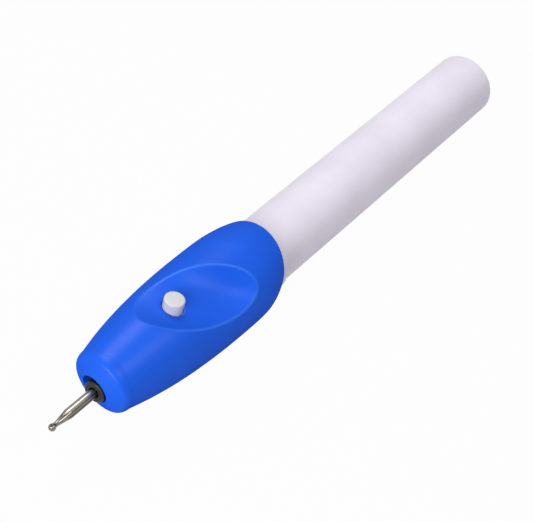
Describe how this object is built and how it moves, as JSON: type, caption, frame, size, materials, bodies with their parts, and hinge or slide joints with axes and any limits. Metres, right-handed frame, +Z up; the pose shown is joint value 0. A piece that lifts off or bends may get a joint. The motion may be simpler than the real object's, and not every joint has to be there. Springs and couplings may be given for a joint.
{
  "type": "electric engraving pen",
  "caption": "Battery engraving pen with a thumb-dished grip, a push button, a spinning ball-ended bit and a screw-off battery tube.",
  "frame": {"origin": "middle of the pen's footprint, at the height of its lowest line", "axes": "+X along the pen from the bit's tip to the tube's tail, +Z up through the push button"},
  "size_m": [0.175, 0.0235, 0.0235],
  "materials": {
    "blue_plastic": "satin moulded",
    "pale_plastic": "satin moulded, very pale lilac",
    "white_plastic": "satin moulded",
    "black_plastic": "satin moulded",
    "natural_nylon": "moulded",
    "red_sleeve": "smooth",
    "blue_sleeve": "smooth",
    "black_sleeve": "smooth",
    "tool_steel": "bright ground",
    "spring_steel": "drawn",
    "plated_steel": "dull nickel plate",
    "laminated_iron": "dull",
    "ferrite": "dull",
    "bronze": "sintered",
    "brass": "rolled",
    "copper": "drawn",
    "cell_sleeve": "satin"
  },
  "bodies": {
    "grip": {"grip_housing": "blue_plastic", "nose_bush": "bronze", "switch_base": "white_plastic", "left_blade": "brass", "right_blade": "brass", "motor_can": "plated_steel", "motor_end_cap": "natural_nylon", "left_magnet": "ferrite", "right_magnet": "ferrite", "front_bearing": "bronze", "rear_bearing": "bronze", "left_brush": "brass", "right_brush": "brass", "contact_carrier": "black_plastic", "contact_ring": "plated_steel", "centre_contact": "plated_steel", "red_wire": "red_sleeve", "blue_wire": "blue_sleeve", "black_wire": "black_sleeve"},
    "spindle": {"bit_chuck": "black_plastic", "motor_shaft": "tool_steel", "armature_core": "laminated_iron", "winding_1": "copper", "winding_2": "copper", "winding_3": "copper", "commutator": "copper"},
    "bit": {"engraving_bit": "tool_steel"},
    "button": {"push_button": "white_plastic", "contact_disc": "brass", "button_spring": "spring_steel"},
    "cells": {"front_cell": "cell_sleeve", "rear_cell": "cell_sleeve"},
    "tube": {"battery_tube": "pale_plastic", "battery_spring": "plated_steel", "contact_strip": "plated_steel"}
  },
  "joints": [
    {"name": "spindle_spin", "type": "hinge", "parent": "grip", "child": "spindle", "pos_m": [-0.0733, 0, 0.01173], "axis": [1, 0, 0], "continuous": true},
    {"name": "bit_pull", "type": "slide", "parent": "spindle", "child": "bit", "axis": [-1, 0, 0], "range_m": [0, 0.021]},
    {"name": "button_press", "type": "slide", "parent": "grip", "child": "button", "axis": [0, 0, -1], "range_m": [0, 0.0009], "stiffness_N_per_m": 1500, "deforming": ["button_spring"]},
    {"name": "tube_feed", "type": "slide", "parent": "grip", "child": "cells", "axis": [1, 0, 0], "range_m": [0, 0.012]},
    {"name": "tube_turn", "type": "hinge", "parent": "cells", "child": "tube", "pos_m": [-0.02415, 0, 0.01173], "axis": [1, 0, 0], "range_deg": [0, 1440]}
  ],
  "couplings": [
    {"joint": "tube_turn", "follows": "tube_feed", "rad_per_m": 2094.4}
  ]
}
